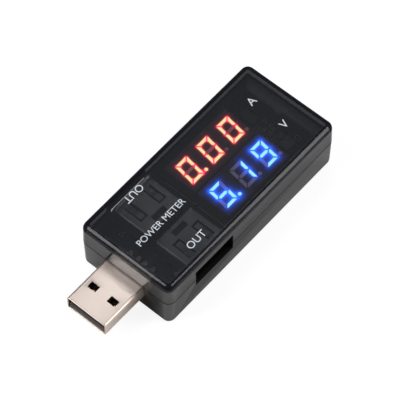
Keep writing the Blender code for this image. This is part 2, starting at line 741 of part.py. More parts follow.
def build_display(name, y, light):
    """One display: housing with a well for each light, the cast lights, and the base with its pins."""
    half = Vector((DISPLAY_LENGTH / 2, DISPLAY_WIDTH / 2))
    base_low = BOARD_TOP + SOLDER_GAP
    base_high = base_low + DISPLAY_BASE_THICK
    housing = block(
        f"{name}_display_housing",
        (DISPLAY_X - half.x, y - half.y, base_high + TOUCH),
        (DISPLAY_X + half.x, y + half.y, DISPLAY_TOP),
        0.25 * MM,
        1,
    )
    pocket = Vector((half.x - DISPLAY_WALL, half.y - DISPLAY_WALL))
    pocket_low = (DISPLAY_X - pocket.x, y - pocket.y, base_low)
    pocket_high = (DISPLAY_X + pocket.x, y + pocket.y, DISPLAY_TOP - BAR_DEPTH)
    cut(housing, block(f"{name}_pocket", pocket_low, pocket_high))
    wells = solid_outlines(
        f"{name}_wells", display_outlines(y, WELL_GAP), 2 * BAR_DEPTH, DISPLAY_TOP - 1.5 * BAR_DEPTH
    )
    cut(housing, wells)
    paint(housing, "display_face")

    slab_high = DISPLAY_TOP - BAR_DEPTH - WELL_GAP
    slab_low = slab_high - RESIN_THICK
    lights = block(
        f"{name}_display_lights",
        (DISPLAY_X - pocket.x + TOUCH, y - pocket.y + TOUCH, slab_low),
        (DISPLAY_X + pocket.x - TOUCH, y + pocket.y - TOUCH, slab_high),
    )
    bars_low = (slab_low + slab_high) / 2
    bars = solid_outlines(
        f"{name}_bars", display_outlines(y, 0.0), DISPLAY_TOP - bars_low, bars_low
    )
    join(lights, bars)
    paint(lights, light)

    rim = Vector((half.x - DISPLAY_BASE_INSET, half.y - DISPLAY_BASE_INSET))
    base = block(
        f"{name}_display_base",
        (DISPLAY_X - rim.x, y - rim.y, base_low),
        (DISPLAY_X + rim.x, y + rim.y, base_high),
    )
    pins = rods(
        f"{name}_display_pins",
        display_pin_points(y),
        PIN_RADIUS,
        BOARD_BOTTOM - PIN_REACH,
        (base_low + base_high) / 2,
        sides=6,
    )
    join(base, pins)
    paint(base, "display_base")


def build_microcontroller():
    """The chip under the board: a resin body with eight gull-wing leads on each long side."""
    top = BOARD_BOTTOM - CHIP_STANDOFF
    low = (DISPLAY_X - CHIP_LENGTH / 2, DISPLAY_Y - CHIP_WIDTH / 2, top - CHIP_THICK)
    high = (DISPLAY_X + CHIP_LENGTH / 2, DISPLAY_Y + CHIP_WIDTH / 2, top)
    chip = block("microcontroller", low, high, CHIP_EDGE, 1)
    waist = top - CHIP_THICK / 2
    foot = BOARD_BOTTOM - TOUCH
    half = LEAD_THICK / 2
    stretches = (
        (CHIP_WIDTH / 2 - LEAD_ROOT, LEAD_KNEE, waist - half, waist + half),
        (LEAD_KNEE - LEAD_THICK, LEAD_KNEE, waist - half / 2, foot - half / 2),
        (LEAD_KNEE - 0.6 * LEAD_THICK, LEAD_FOOT, foot - LEAD_THICK, foot),
    )
    for number, (near, far, bottom, head) in enumerate(stretches):
        # Each stretch is a little wider than the last, so that no two faces coincide
        half_width = LEAD_WIDTH / 2 + number * LEAD_WIDENING
        leads = []
        for step in range(LEADS_PER_SIDE):
            x = DISPLAY_X + (step - (LEADS_PER_SIDE - 1) / 2) * LEAD_PITCH
            for side in (-1, 1):
                ends = sorted((DISPLAY_Y + side * near, DISPLAY_Y + side * far))
                leads.append(((x - half_width, ends[0], bottom), (x + half_width, ends[1], head)))
        join(chip, blocks(f"leads_{number}", leads))
    paint(chip, "chip_resin")


def build_regulator():
    """The voltage regulator: a resin body with three legs on one side and a tab on the other."""
    x, y = REGULATOR_MIDDLE
    half_x, half_y = REGULATOR_HALF
    low_z = BOARD_TOP + SOLDER_GAP
    high_z = low_z + REGULATOR_LEG_THICK
    body = block(
        "voltage_regulator",
        (x - half_x, y - half_y, low_z),
        (x + half_x, y + half_y, low_z + REGULATOR_HEIGHT),
        CHIP_EDGE,
        1,
    )
    legs = []
    for step in (-1, 0, 1):
        middle = y + step * REGULATOR_LEG_PITCH
        low = (x - half_x - REGULATOR_LEG_REACH, middle - REGULATOR_LEG_WIDTH / 2, low_z)
        legs.append((low, (x, middle + REGULATOR_LEG_WIDTH / 2, high_z)))
    low = (x, y - REGULATOR_TAB_WIDTH / 2, low_z)
    high = (x + half_x + REGULATOR_TAB_REACH, y + REGULATOR_TAB_WIDTH / 2, high_z)
    legs.append((low, high))
    join(body, blocks("regulator_legs", legs))
    paint(body, "chip_resin")


def build_chip(name, middle, half, height, finish):
    """A small rectangular part soldered to the upper face of the board."""
    low_z = BOARD_TOP + SOLDER_GAP
    low = (middle[0] - half[0], middle[1] - half[1], low_z)
    high = (middle[0] + half[0], middle[1] + half[1], low_z + height)
    paint(block(name, low, high, SMALL_PART_EDGE, 1), finish)


def build_small_parts():
    """The current shunt under the board, and the capacitors and resistors on it."""
    high_z = BOARD_BOTTOM - SOLDER_GAP
    low = (PORT_X - SHUNT_HALF_LENGTH, SHUNT_LOW_Y, high_z - SHUNT_THICK)
    high = (PORT_X + SHUNT_HALF_LENGTH, SHUNT_HIGH_Y, high_z)
    paint(block("current_shunt", low, high, SMALL_PART_EDGE, 1), "ceramic_black")
    build_chip(
        "input_capacitor",
        INPUT_CAPACITOR_MIDDLE,
        INPUT_CAPACITOR_HALF,
        INPUT_CAPACITOR_HEIGHT,
        "tantalum_black",
    )
    for number, middle in enumerate(RESISTORS, 1):
        name = f"chip_resistor_{number}"
        build_chip(name, middle, RESISTOR_HALF, RESISTOR_HEIGHT, "ceramic_black")
    for number, middle in enumerate(CAPACITORS, 1):
        name = f"chip_capacitor_{number}"
        build_chip(name, middle, CAPACITOR_HALF, CAPACITOR_HEIGHT, "ceramic_tan")


def main():
    clear_scene()
    build_lower_shell()
    build_upper_shell()
    build_board()
    build_plug()
    build_ports()
    build_display("red", DISPLAY_Y, "red_light")
    build_display("blue", -DISPLAY_Y, "blue_light")
    build_microcontroller()
    build_regulator()
    build_small_parts()


main()
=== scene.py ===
# Looks of the USB power meter: smoke-tinted two-part case, nickel plug, two ports, two lit displays.
# Everything is in metres in the model's own frame: +X from the plug to the far end, +Z out of the
# display face, +Y up for someone reading the digits.

import json
import math

import bmesh
import bpy
from mathutils import Matrix, Vector


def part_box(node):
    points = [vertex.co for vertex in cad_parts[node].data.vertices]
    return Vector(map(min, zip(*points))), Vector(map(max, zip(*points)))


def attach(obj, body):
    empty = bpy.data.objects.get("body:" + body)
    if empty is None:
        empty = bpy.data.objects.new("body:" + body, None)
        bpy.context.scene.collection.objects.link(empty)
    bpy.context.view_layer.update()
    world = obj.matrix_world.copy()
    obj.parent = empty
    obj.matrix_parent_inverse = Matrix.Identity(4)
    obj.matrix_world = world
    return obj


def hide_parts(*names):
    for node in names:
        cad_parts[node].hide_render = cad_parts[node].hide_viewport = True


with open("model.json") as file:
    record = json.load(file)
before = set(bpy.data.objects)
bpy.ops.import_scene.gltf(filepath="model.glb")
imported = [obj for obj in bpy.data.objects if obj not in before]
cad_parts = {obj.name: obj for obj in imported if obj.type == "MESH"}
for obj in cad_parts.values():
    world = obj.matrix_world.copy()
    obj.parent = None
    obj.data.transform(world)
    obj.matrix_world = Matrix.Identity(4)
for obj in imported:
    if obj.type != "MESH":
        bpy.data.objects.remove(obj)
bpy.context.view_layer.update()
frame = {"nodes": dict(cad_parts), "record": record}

MM = 0.001
METER = "meter"

# Case
CASE_LOW, CASE_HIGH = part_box("upper_shell")
CASE_CENTRE = (CASE_LOW + CASE_HIGH) / 2
CASE_TOP = CASE_HIGH.z - 0.02 * MM
CASE_HALF_X = (CASE_HIGH.x - CASE_LOW.x) / 2
CASE_HALF_Y = (CASE_HIGH.y - CASE_LOW.y) / 2
COVER_FOOT = 9.35 * MM
TRAY_RIM = 9.15 * MM
WALL = 1.6 * MM
FLOOR = 1.5 * MM
CORNER = 2.1 * MM
TOP_ROUND = 1.7 * MM
TOP_DRAFT = 0.12 * MM
BOTTOM_ROUND = 0.8 * MM
BOTTOM_DRAFT = 0.2 * MM
EDGE = 0.1 * MM
LIP_INSET = 0.9 * MM
LIP_GAP = 0.2 * MM
LIP_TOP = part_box("lower_shell")[1].z
CEILING = CASE_HIGH.z - WALL
CEILING_ROUND = 0.6 * MM
# The least gap: it keeps the shells inside the CAD box, and faces that nearly meet apart.
HAIR = 0.01 * MM
LEAST_CORNER = 0.35 * MM
CORNER_STEPS = 8
FLAT_RIM = 0.3 * MM
FLAT_INSETS = (3.0 * MM, FLAT_RIM)
TOP_STEPS = 8
CEILING_STEPS = 4
BOTTOM_STEPS = 6
EDGE_STEPS = 3
HOLE_BEVEL = 0.08 * MM
SEAM_Z = (COVER_FOOT + TRAY_RIM) / 2
SEAM_HALF = 1.6 * EDGE
SEAM_HALF_OVER_PLUG = 4.0 * EDGE
PLUG_SLOT_GAP = 0.15 * MM
# How far a face's normal has to lean to a side for the face to count as turned that way.
LEANS = 0.05
LID_LEANS = 0.03
MOSTLY = 0.5

# Ledge inside the case
LEDGE_TOP = CEILING - 1.5 * MM
LEDGE_HEIGHT = 1.2 * MM
LEDGE_LENGTH = 3.0 * MM
LEDGE_STEP = 0.45 * MM
LEDGE_BACK = CASE_HIGH.x - WALL - 0.2 * MM
LEDGE_HALF = CASE_HIGH.y - WALL - 0.7 * MM
LEDGE_ROUND = 0.15 * MM
NOTCH_OUTER = 1.2 * MM
NOTCH_LEFT = 0.7 * MM
NOTCH_RIGHT = 0.6 * MM

# Plug
PLUG_LOW, PLUG_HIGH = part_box("plug_shell")
PLUG_TIP = PLUG_LOW.x
PLUG_BACK = PLUG_HIGH.x
PLUG_HALF = 6.0 * MM
PLUG_TOP = 9.15 * MM
PLUG_LOW_Z = 4.65 * MM
PLUG_CORNER = 0.65 * MM
PLUG_CORNER_STEPS = 6
# Where the sleeve has sections, in millimetres from its tip.
PLUG_STATIONS = (0.6, 2.0, 4.0, 8.0, 12.0, 13.6, 16.0)
ROLL_STEPS = 8
SHEET = 0.3 * MM
WINDOW_Y = 3.05 * MM
WINDOW_HALF = 1.25 * MM
WINDOW_FRONT = PLUG_TIP + 5.25 * MM
WINDOW_BACK = PLUG_TIP + 7.1 * MM
DIMPLE_X = PLUG_TIP + 10.85 * MM
DIMPLE_RADIUS = 0.6 * MM
# The ball that presses a dimple has its middle this far outside the plug's side.
DIMPLE_OUT = 0.45 * MM
BALL_STEPS = 12
FOLD_HALF = 0.04 * MM
FOLD_DEPTH = 0.12 * MM
PIT_PLACE = Vector((PLUG_TIP + 10.4 * MM, -4.87 * MM, PLUG_TOP + 0.06 * MM))
PIT_RADIUS = 0.12 * MM
PLUG_BEVEL = 0.05 * MM
SOLDER_BACK = 0.6 * MM
SOLDER_SINK = 0.1 * MM
# Half length, half width and height of the solder on a blade, in millimetres.
SOLDER_SIZE = (1.1, 0.75, 0.55)
SOLDER_STEPS = 16
# The clear part of the end wall, over the plug, has both its sides square to this direction.
CLEAR_SIDE = Vector((0.0, 0.93, 0.36))

# Ports
PORT_X = -7.65 * MM
PORT_Z = 9.7 * MM
PORT_HALF_WIDTH = 6.55 * MM
PORT_HALF_HEIGHT = 2.85 * MM
PORT_MOUTH = 12.1 * MM
PORT_BACK = 1.4 * MM
FLARE = 0.7 * MM
HOLE_WIDTH = 13.4 * MM
HOLE_HEIGHT = 5.7 * MM
PORT_CORNER = 0.7 * MM
PORT_CORNER_STEPS = 5
PORT_STATIONS = 20
FLARE_STATIONS = (0.35, 0.7, 1.0)
FINGER_X = 3.35 * MM
FINGER_HALF = 0.75 * MM
FINGER_SLOT = 0.55 * MM
FINGER_FRONT = 10.3 * MM
FINGER_END = 5.4 * MM
FINGER_BEND = 0.42 * MM
FINGER_CREST = 1.6
FINGER_DROP = 0.1 * MM
FINGER_MARGIN = 0.05 * MM
BACK_WINDOW_HALF = 2.2 * MM
BACK_WINDOW_FRONT = 4.0 * MM
BACK_WINDOW_END = 2.4 * MM

# Displays
DIGIT_PITCH = 7.55 * MM
DIGIT_HEIGHT = 6.6 * MM
DIGIT_WIDTH = 4.2 * MM
SLANT = math.tan(math.radians(8.0))
BAR = 0.9 * MM
MITRE = 0.16 * MM
POINT = Vector((2.75 * MM, -2.85 * MM))
POINT_RADIUS = 0.5 * MM
GLOW_STEP = 0.2 * MM
CORNER_CUT = 0.3 * MM
POINT_STEPS = 16
FACE_DROP = 0.02 * MM
FACE_THICKNESS = 0.1 * MM
FACE_MARGIN = 0.1 * MM
LIGHT_SINK = 0.05 * MM
BODY_CORNER = 0.4 * MM
BODY_CORNER_STEPS = 3
BODY_FOOT = 0.25 * MM
CORE_LENGTH = 0.87
CORE_WIDTH = 0.72
MOST_GLOW = 1.6
REACHES_OUT = 5
RED_REACH = 0.45 * MM
BLUE_REACH = 0.65 * MM
SHINE = 2.9

# Print
CAPITAL_SHARE = 0.7
INK_HALF = 0.01 * MM
INK_LIFT = 0.005 * MM
INK_MERGE = 0.001 * MM
MARK_LIFT = 0.02 * MM
MARK_LINE = 0.12 * MM
MARK_GAP = 0.25 * MM
UPSIDE_DOWN = math.pi
DOWNWARDS = -math.pi / 2

# Camera and light
CAMERA_PLACE = Vector((-0.24406, -0.21210, 0.54939))
CAMERA_LOOK = Vector((0.39172, 0.33567, -0.85667))
CAMERA_LENS = 237.07
CAMERA_NEAR = 0.01
FLOOR_HALF = 2.0
FLOOR_DROP = 0.02 * MM
PAPER_GREY = 0.8
PAPER_SHADED = 0.22
PAPER_BRIGHT = 0.88
SKY_STRENGTH = 0.1

# Surfaces and edges
NOISE_DETAIL = 6.0
BUMP_STRENGTH = 0.5
BUMP_UNIT = 0.1 * MM
SHARP_ANGLE = 32.0
BEVEL_ANGLE = 50.0
BEVEL_SEGMENTS = 2


# ---------------------------------------------------------------- materials


def grained(name, colour, roughness, speckle, scale, bump, **sockets):
    """A Principled material whose colour, roughness and surface vary with fine noise.

    speckle is how much the colour and the roughness vary, scale the noise's cells per metre, and bump
    the depth of the surface's unevenness in BUMP_UNIT. sockets set the shader's other inputs.
    """
    material = bpy.data.materials.new(name)
    material.use_nodes = True
    tree = material.node_tree
    shader = tree.nodes["Principled BSDF"]
    place = tree.nodes.new("ShaderNodeTexCoord")
    noise = tree.nodes.new("ShaderNodeTexNoise")
    noise.inputs["Scale"].default_value = scale
    noise.inputs["Detail"].default_value = NOISE_DETAIL
    tree.links.new(place.outputs["Object"], noise.inputs["Vector"])

    tint = tree.nodes.new("ShaderNodeMix")
    tint.data_type = "RGBA"
    dark = [c * (1 - speckle) for c in colour]
    light = [min(1.0, c * (1 + speckle)) for c in colour]
    tint.inputs["A"].default_value = (*dark, 1.0)
    tint.inputs["B"].default_value = (*light, 1.0)
    tree.links.new(noise.outputs["Fac"], tint.inputs["Factor"])
    tree.links.new(tint.outputs["Result"], shader.inputs["Base Color"])

    spread = tree.nodes.new("ShaderNodeMapRange")
    spread.inputs["To Min"].default_value = roughness * (1 - speckle)
    spread.inputs["To Max"].default_value = roughness * (1 + speckle)
    tree.links.new(noise.outputs["Fac"], spread.inputs["Value"])
    tree.links.new(spread.outputs["Result"], shader.inputs["Roughness"])

    if bump:
        dent = tree.nodes.new("ShaderNodeBump")
        dent.inputs["Strength"].default_value = BUMP_STRENGTH
        dent.inputs["Distance"].default_value = bump * BUMP_UNIT
        tree.links.new(noise.outputs["Fac"], dent.inputs["Height"])
        tree.links.new(dent.outputs["Normal"], shader.inputs["Normal"])
    for socket, value in sockets.items():
        shader.inputs[socket.replace("_", " ")].default_value = value
    return material


def glowing(name, base, layers):
    """A finish that glows by the mesh's glow value. Each layer is a colour, a power and a strength."""
    material = grained(name, base, roughness=0.5, speckle=0.1, scale=300.0, bump=0.0)
    tree = material.node_tree
    shader = tree.nodes["Principled BSDF"]
    glow = tree.nodes.new("ShaderNodeAttribute")
    glow.attribute_name = "glow"
    total = None
    for colour, power, strength in layers:
        sharp = tree.nodes.new("ShaderNodeMath")
        sharp.operation = "POWER"
        sharp.inputs[1].default_value = power
        tree.links.new(glow.outputs["Fac"], sharp.inputs[0])
        scaled = tree.nodes.new("ShaderNodeVectorMath")
        scaled.operation = "SCALE"
        scaled.inputs[0].default_value = [c * strength for c in colour]
        tree.links.new(sharp.outputs[0], scaled.inputs["Scale"])
        if total is None:
            total = scaled
            continue
        both = tree.nodes.new("ShaderNodeVectorMath")
        both.operation = "ADD"
        tree.links.new(total.outputs[0], both.inputs[0])
        tree.links.new(scaled.outputs[0], both.inputs[1])
        total = both
    tree.links.new(total.outputs[0], shader.inputs["Emission Color"])
    shader.inputs["Emission Strength"].default_value = 1.0
    return material


SMOKE = (0.009, 0.0095, 0.0135)
GREY = (0.02, 0.02, 0.021)
LID = grained(
    "smoke_lid", SMOKE,
    roughness=0.36, speckle=0.04, scale=90.0, bump=0.0,
    Alpha=0.42, Specular_IOR_Level=0.2,
)
RIM = grained(
    "smoke_rim", SMOKE,
    roughness=0.14, speckle=0.1, scale=90.0, bump=0.0,
    Alpha=0.9, Specular_IOR_Level=0.3,
)
# Painted shade: a copy of the rim that barely reflects and lets less through, for the rim's sides that
# lean to +X or +Y, which it darkens.
SHADED_FAR_RIM = grained(
    "smoke_far_rim_painted_shade", SMOKE,
    roughness=0.3, speckle=0.1, scale=90.0, bump=0.0,
    Alpha=0.97, Specular_IOR_Level=0.02,
)
SIDE = grained(
    "smoke_side", GREY,
    roughness=0.17, speckle=0.1, scale=90.0, bump=0.0,
    Alpha=0.95, Specular_IOR_Level=0.85,
)
CLEAR = grained(
    "smoke_clear", GREY,
    roughness=0.2, speckle=0.1, scale=90.0, bump=0.0,
    Alpha=0.12, Specular_IOR_Level=0.5,
)
INNER = grained(
    "smoke_inner", GREY,
    roughness=0.2, speckle=0.1, scale=90.0, bump=0.0,
    Alpha=0.03, Specular_IOR_Level=0.1,
)
# The ledge is a part of the case; its light grey is painted light for the light the far walls let into
# the case.
LEDGE_PAINTED_LIGHT = grained(
    "smoke_ledge_painted_light", (0.09, 0.09, 0.10),
    roughness=0.4, speckle=0.15, scale=300.0, bump=0.02,
    Specular_IOR_Level=0.3,
)
TRAY = grained(
    "smoke_tray", GREY,
    roughness=0.17, speckle=0.1, scale=90.0, bump=0.0,
    Specular_IOR_Level=0.6,
)
# Near-black painted shade for the port holes' edges and for a band along the real seam between the
# shells.
GAP_SHADE = grained(
    "smoke_painted_gap_shade", (0.006, 0.006, 0.006),
    roughness=0.6, speckle=0.2, scale=300.0, bump=0.0,
    Specular_IOR_Level=0.1,
)
NICKEL = grained(
    "plug_nickel", (0.80, 0.67, 0.585),
    roughness=0.42, speckle=0.10, scale=160.0, bump=0.02,
    Metallic=1.0,
)
# Painted light: a lighter, rougher copy of the nickel for the plug's top inside the case, which the lid
# shades.
NICKEL_PAINTED_LIGHT = grained(
    "plug_nickel_painted_light", (0.9, 0.8, 0.73),
    roughness=0.5, speckle=0.06, scale=250.0, bump=0.02,
    Metallic=0.8,
)
STEEL = grained(
    "port_steel", (0.2, 0.2, 0.21),
    roughness=0.4, speckle=0.08, scale=200.0, bump=0.0,
    Metallic=1.0,
)
# Near-black painted shade for the ports' inner faces, mouths and lower halves.
SHADE = grained(
    "port_painted_shade", (0.004, 0.004, 0.004),
    roughness=0.5, speckle=0.2, scale=300.0, bump=0.02,
    Specular_IOR_Level=0.05,
)
GOLD = grained(
    "contact_gold", (0.83, 0.58, 0.24),
    roughness=0.25, speckle=0.08, scale=500.0, bump=0.01,
    Metallic=1.0,
)
RESIN = grained(
    "black_resin", (0.02, 0.02, 0.022),
    roughness=0.5, speckle=0.2, scale=900.0, bump=0.05,
)
MASK = grained(
    "board_black", (0.012, 0.015, 0.017),
    roughness=0.45, speckle=0.1, scale=200.0, bump=0.0,
)
TIN = grained(
    "solder", (0.45, 0.45, 0.46),
    roughness=0.35, speckle=0.15, scale=700.0, bump=0.05,
    Metallic=1.0,
)
INK = grained("ink", (0.70, 0.75, 0.82), roughness=0.5, speckle=0.05, scale=1500.0, bump=0.01)
PRINT = grained(
    "board_print", (0.30, 0.32, 0.33),
    roughness=0.6, speckle=0.1, scale=1500.0, bump=0.01,
)
BASE = grained(
    "display_base", (0.55, 0.5, 0.36),
    roughness=0.6, speckle=0.15, scale=700.0, bump=0.05,
)
HOUSING = grained(
    "display_housing", (0.018, 0.018, 0.02),
    roughness=0.5, speckle=0.1, scale=300.0, bump=0.0,
)
CHIP = grained(
    "chip_resin", (0.025, 0.025, 0.027),
    roughness=0.6, speckle=0.2, scale=900.0, bump=0.06,
)
FILM = grained(
    "resistor_black", (0.02, 0.02, 0.022),
    roughness=0.35, speckle=0.2, scale=900.0, bump=0.03,
)
TAN = grained(
    "ceramic_tan", (0.10, 0.085, 0.07),
    roughness=0.5, speckle=0.12, scale=900.0, bump=0.04,
)
TANTALUM = grained(
    "tantalum_black", (0.05, 0.045, 0.04),
    roughness=0.45, speckle=0.1, scale=700.0, bump=0.04,
)


# ---------------------------------------------------------------- mesh tools


def smooth(mesh):
    """Shade a mesh smooth, apart from its sharp edges."""
    mesh.shade_smooth()
    mesh.set_sharp_from_angle(angle=math.radians(SHARP_ANGLE))


def finished(name, bm, material, replaces=(), body=METER):
    """Turn a mesh under construction into a piece of the model."""
    bmesh.ops.recalc_face_normals(bm, faces=bm.faces)
    mesh = bpy.data.meshes.new(name)
    bm.to_mesh(mesh)
    bm.free()
    item = bpy.data.objects.new(name, mesh)
    bpy.context.scene.collection.objects.link(item)
    mesh.materials.append(material)
    smooth(mesh)
    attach(item, body)
    if replaces:
        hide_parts(*replaces)
    return item


def add_finishes(item, *materials):
    """Give a piece more finishes, for paint to use."""
    for material in materials:
        item.data.materials.append(material)


def paint(item, face, material):
    """Put one of a piece's finishes on one face."""
    face.material_index = item.data.materials.find(material.name)


def finish_of(item, face):
    """The finish that one face of a piece has."""
    return item.data.materials[face.material_index]


def rounded_ring(centre, half_x, half_y, radius, steps=CORNER_STEPS):
    """Points round a rectangle with round corners, counter-clockwise, as (x, y)."""
    points = []
    for corner, (sx, sy) in enumerate(((1, 1), (-1, 1), (-1, -1), (1, -1))):
        for step in range(steps + 1):
            angle = math.radians(90.0 * (corner + step / steps))
            x = centre[0] + sx * (half_x - radius) + radius * math.cos(angle)
            y = centre[1] + sy * (half_y - radius) + radius * math.sin(angle)
            points.append((x, y))
    return points


def loft(bm, rings, closed=False):
    """Skin between rings of 3-D points. Open lofts get a flat cap at both ends."""
    levels = [[bm.verts.new(p) for p in ring] for ring in rings]
    count = len(levels[0])
    pairs = list(zip(levels, levels[1:]))
    if closed:
        pairs.append((levels[-1], levels[0]))
    for low, high in pairs:
        for i in range(count):
            j = (i + 1) % count
            bm.faces.new((low[i], low[j], high[j], high[i]))
    if not closed:
        bm.faces.new(levels[0])
        bm.faces.new(levels[-1])


def case_ring(inset, z):
    """One level of the case's outline, drawn in by an inset."""
    half_x = CASE_HALF_X - HAIR - inset
    half_y = CASE_HALF_Y - HAIR - inset
    radius = max(CORNER - inset, LEAST_CORNER)
    ring = rounded_ring(CASE_CENTRE, half_x, half_y, radius)
    return [(x, y, z) for x, y in ring]


def quarter(steps):
    """Angles of a quarter turn, as sine and cosine pairs."""
    turns = [math.radians(90.0 * i / steps) for i in range(steps + 1)]
    return [(math.sin(t), math.cos(t)) for t in turns]


def add_box(bm, low, high):
    """A block between two corners, added to a mesh under construction."""
    low = Vector(low)
    high = Vector(high)
    made = bmesh.ops.create_cube(bm, size=1.0)
    bmesh.ops.scale(bm, vec=high - low, verts=made["verts"])
    bmesh.ops.translate(bm, vec=(low + high) / 2, verts=made["verts"])


def add_ball(bm, centre, radius, steps=BALL_STEPS):
    """A ball added to a mesh under construction."""
    made = bmesh.ops.create_uvsphere(bm, u_segments=steps, v_segments=steps, radius=radius)
    bmesh.ops.translate(bm, vec=centre, verts=made["verts"])


def carve(item, tool_bm, bevel=0.0):
    """Cut the solids under construction out of a piece, then break its sharp edges."""
    mesh = bpy.data.meshes.new("carver")
    tool_bm.to_mesh(mesh)
    tool_bm.free()
    tool = bpy.data.objects.new("carver", mesh)
    bpy.context.scene.collection.objects.link(tool)
    cut = item.modifiers.new("cut", "BOOLEAN")
    cut.object = tool
    cut.solver = "EXACT"
    cut.use_self = True
    if bevel:
        round_off = break_edges(item, bevel)
        round_off.limit_method = "ANGLE"
        round_off.angle_limit = math.radians(BEVEL_ANGLE)
    apply_modifiers(item)
    bpy.data.objects.remove(tool)


def break_edges(item, width):
    """A bevel modifier of the given width."""
    round_off = item.modifiers.new("edge", "BEVEL")
    round_off.width = width
    round_off.segments = BEVEL_SEGMENTS
    return round_off


def apply_modifiers(item):
    """Make a piece's modifiers part of its mesh."""
    graph = bpy.context.evaluated_depsgraph_get()
    mesh = bpy.data.meshes.new_from_object(item.evaluated_get(graph))
    item.modifiers.clear()
    item.data = mesh
    smooth(mesh)


# ---------------------------------------------------------------- case


def port_holes():
    """The space of both port holes, as one block right through the case."""
    bm = bmesh.new()
    low = (PORT_X - HOLE_WIDTH / 2, -CASE_HIGH.y * 2, PORT_Z - HOLE_HEIGHT / 2)
    high = (PORT_X + HOLE_WIDTH / 2, CASE_HIGH.y * 2, PORT_Z + HOLE_HEIGHT / 2)
    add_box(bm, low, high)
    return bm


def build_cover():
    """The see-through upper shell, darker round its rim and down its sides than across its lid."""
    straight = CASE_TOP - TOP_ROUND
    rings = [case_ring(TOP_DRAFT + TOP_ROUND + inset, CASE_TOP) for inset in FLAT_INSETS]
    for sine, cosine in quarter(TOP_STEPS):
        rings.append(case_ring(TOP_DRAFT + TOP_ROUND * (1 - sine), straight + TOP_ROUND * cosine))
    rings.append(case_ring(TOP_DRAFT, straight - EDGE))
    rings.append(case_ring(EDGE / 4, COVER_FOOT + 4 * EDGE))
    for sine, cosine in quarter(EDGE_STEPS):
        rings.append(case_ring(EDGE * (1 - cosine), COVER_FOOT + EDGE * (1 - sine)))
    rebate = LIP_INSET - LIP_GAP
    rebate_top = LIP_TOP + LIP_GAP
    rings.append(case_ring(rebate, COVER_FOOT))
    rings.append(case_ring(rebate, rebate_top))
    rings.append(case_ring(WALL, rebate_top))
    for sine, cosine in reversed(quarter(CEILING_STEPS)):
        inset = WALL + CEILING_ROUND * (1 - sine)
        rings.append(case_ring(inset, CEILING - CEILING_ROUND * (1 - cosine)))
    rings.append(case_ring(WALL + CEILING_ROUND + FLAT_RIM, CEILING))
    bm = bmesh.new()
    loft(bm, rings)
    for side in (-1, 1):
        corner = Vector((0.0, side * PLUG_HALF, PLUG_TOP))
        everything = bm.verts[:] + bm.edges[:] + bm.faces[:]
        bmesh.ops.bisect_plane(bm, geom=everything, plane_co=corner, plane_no=CLEAR_SIDE)
    cover = finished("cover", bm, LID, ["upper_shell"])
    add_finishes(cover, SIDE, RIM, CLEAR, GAP_SHADE, INNER, SHADED_FAR_RIM)
    carve(cover, port_holes(), HOLE_BEVEL)
    for face in cover.data.polygons:
        z = face.center.z
        if z < straight:
            across = (face.center - Vector((0.0, 0.0, PLUG_TOP))).dot(CLEAR_SIDE) / CLEAR_SIDE.y
            over_plug = face.center.x < CASE_LOW.x + 2 * WALL and abs(across) < PLUG_HALF
            outside = face.center.x < CASE_LOW.x + 3 * EDGE and face.normal.x < -LEANS
            over_plug_finish = CLEAR if outside else INNER
            paint(cover, face, over_plug_finish if over_plug else SIDE)
        elif CEILING - TOP_ROUND < z < CASE_TOP - HAIR and face.normal.z > LID_LEANS:
            # Rim faces that lean to +X or +Y get the far rim's painted shade.
            far = max(face.normal.x, face.normal.y) > LEANS
            paint(cover, face, SHADED_FAR_RIM if far else RIM)
    paint_gap_shade(cover, keep=INNER, widen=CLEAR)


def paint_gap_shade(item, keep=None, widen=None):
    """Paint shade on the port holes' edges and along the seam between the shells, which no light
    reaches.

    Faces with the finish keep stay as they are, and the seam is wider on faces with the finish widen.
    """
    for face in item.data.polygons:
        finish = finish_of(item, face)
        beside_hole = abs(face.center.x - PORT_X) < HOLE_WIDTH / 2 + EDGE
        level_with_hole = abs(face.center.z - PORT_Z) < HOLE_HEIGHT / 2 + EDGE
        in_hole = beside_hole and level_with_hole
        seam_half = SEAM_HALF_OVER_PLUG if finish == widen else SEAM_HALF
        in_seam = abs(face.center.z - SEAM_Z) < seam_half
        if (in_hole or in_seam) and finish != keep:
            paint(item, face, GAP_SHADE)


def build_tray():
    """The lower shell, with the lip that the cover fits over and the slot that holds the plug."""
    rings = [case_ring(BOTTOM_DRAFT + BOTTOM_ROUND + inset, 0.0) for inset in FLAT_INSETS]
    for sine, cosine in quarter(BOTTOM_STEPS):
        inset = BOTTOM_DRAFT + BOTTOM_ROUND * (1 - sine)
        rings.append(case_ring(inset, BOTTOM_ROUND * (1 - cosine)))
    rings.append(case_ring(EDGE / 4, TRAY_RIM - 4 * EDGE))
    for sine, cosine in quarter(EDGE_STEPS):
        rings.append(case_ring(EDGE * (1 - cosine), TRAY_RIM - EDGE * (1 - sine)))
    rings.append(case_ring(LIP_INSET, TRAY_RIM))
    rings.append(case_ring(LIP_INSET, LIP_TOP))
    rings.append(case_ring(WALL, LIP_TOP))
    rings.append(case_ring(WALL, FLOOR))
    bm = bmesh.new()
    loft(bm, rings)
    tray = finished("tray", bm, TRAY, ["lower_shell"])
    gap = PLUG_SLOT_GAP
    slot_low = (CASE_LOW.x - WALL, -PLUG_HALF - gap, PLUG_LOW_Z - gap)
    slot_high = (CASE_LOW.x + 2 * WALL, PLUG_HALF + gap, CASE_HIGH.z)
    holes = port_holes()
    add_box(holes, slot_low, slot_high)
    carve(tray, holes, HOLE_BEVEL)
    add_finishes(tray, GAP_SHADE)
    paint_gap_shade(tray)


